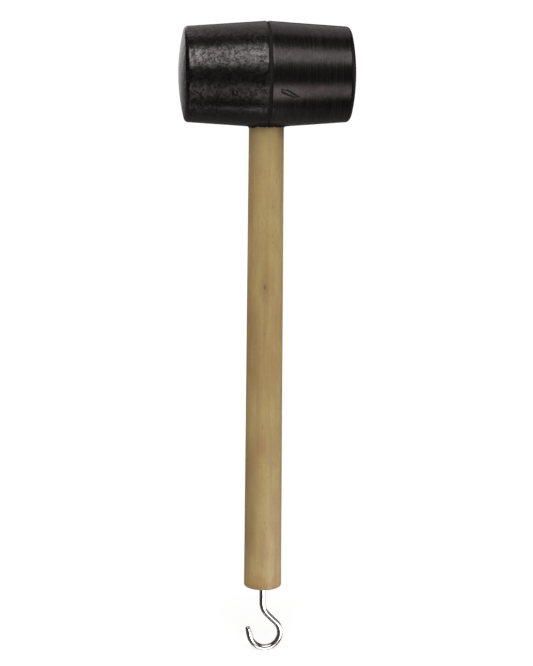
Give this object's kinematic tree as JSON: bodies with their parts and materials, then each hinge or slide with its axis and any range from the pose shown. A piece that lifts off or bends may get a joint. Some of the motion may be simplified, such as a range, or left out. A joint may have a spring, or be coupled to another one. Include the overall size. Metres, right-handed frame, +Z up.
{
  "type": "rubber mallet",
  "caption": "Barrel-shaped rubber head with domed striking faces, closed on top, on a round tapered wooden handle, with a bent wire hook screwed into the butt for hanging it and for pulling pegs.",
  "frame": {"origin": "on the handle's axis, level with the lowest point of the hook", "axes": "+Z up the handle from the butt to the head, +X along the head towards the side that the hook bulges to, +Y away from the viewer who sees the hook open to the left"},
  "size_m": [0.101, 0.0604, 0.3766],
  "materials": {
    "black_rubber": "moulded, semi-matt, with a slight bloom",
    "handle_wood": "turned hardwood, thin satin lacquer",
    "plated_wire": "bright zinc plate on drawn steel wire"
  },
  "bodies": {
    "root": {"rubber_head": "black_rubber", "handle": "handle_wood", "screw_hook": "plated_wire"}
  },
  "joints": []
}
